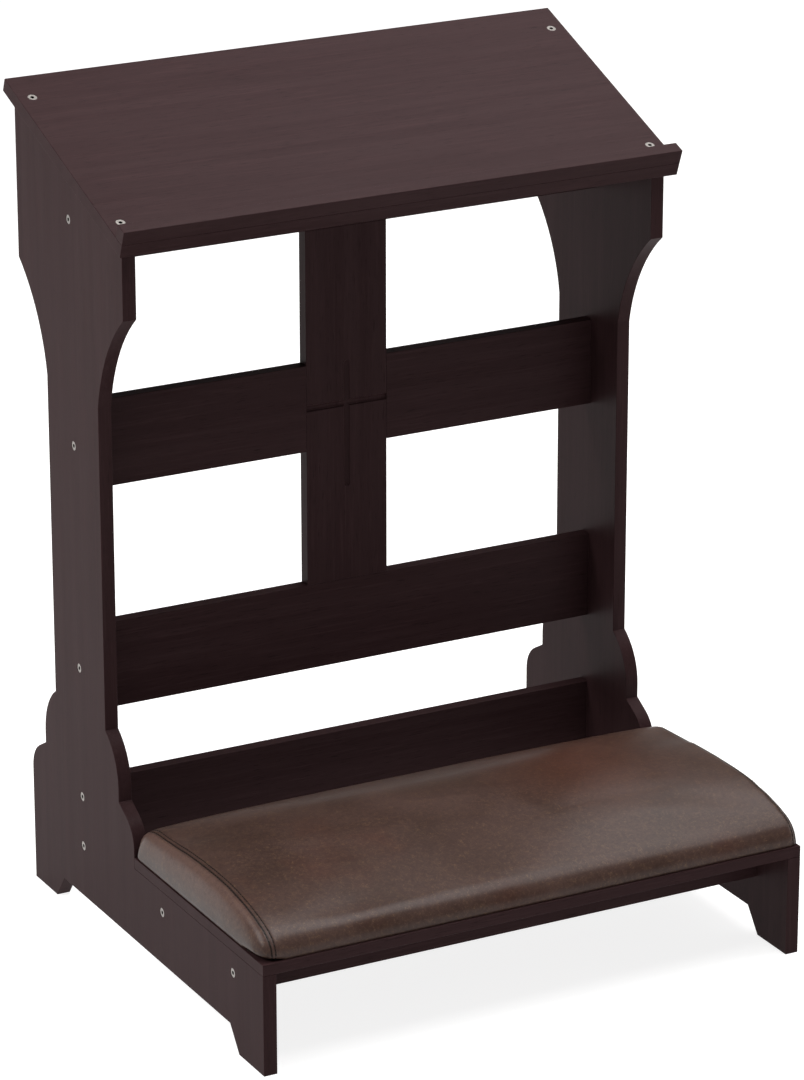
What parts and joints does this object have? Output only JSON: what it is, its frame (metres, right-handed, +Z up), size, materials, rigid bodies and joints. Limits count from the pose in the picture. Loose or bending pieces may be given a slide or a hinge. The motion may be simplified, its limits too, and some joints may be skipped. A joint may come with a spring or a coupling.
{
  "type": "kneeling bench",
  "caption": "Wooden kneeling bench with a sloping book desk, open back frame with a cross, shaped side panels and a low upholstered kneeler.",
  "frame": {"origin": "on the floor, under the middle of the whole bench's bounding box", "axes": "+Z up, the kneeler faces -Y, +X to the right of someone looking along +Y; the bench is the same on both sides of X = 0"},
  "size_m": [0.646, 0.5704, 0.8992],
  "materials": {
    "espresso_wood": "dark espresso stain under satin lacquer",
    "leather": "mottled dark brown leather, soft sheen",
    "foam": "open-cell upholstery foam",
    "plywood": "raw plywood",
    "beech": "raw beech",
    "steel_screws": "bright nickel-plated steel",
    "steel_wire": "galvanised staple wire"
  },
  "bodies": {
    "root": {"side_panel_left": "espresso_wood", "side_panel_right": "espresso_wood", "desk_board": "espresso_wood", "book_lip": "espresso_wood", "upper_rail": "espresso_wood", "centre_upright": "espresso_wood", "cross_arm_left": "espresso_wood", "cross_arm_right": "espresso_wood", "lower_rail": "espresso_wood", "back_apron": "espresso_wood", "mid_rail": "espresso_wood", "front_rail": "espresso_wood", "kneeler_board": "espresso_wood", "cushion_base": "plywood", "cushion_foam": "foam", "cushion_cover": "leather", "side_screws_left": "steel_screws", "side_screws_right": "steel_screws", "desk_screws": "steel_screws", "kneeler_board_screws": "steel_screws", "lip_screws": "steel_screws", "cushion_screws": "steel_screws", "cushion_staples": "steel_wire", "rail_dowels_left": "beech", "rail_dowels_right": "beech", "arm_dowels_left": "beech", "arm_dowels_right": "beech", "upright_top_dowels": "beech", "upright_bottom_dowels": "beech"}
  },
  "joints": []
}
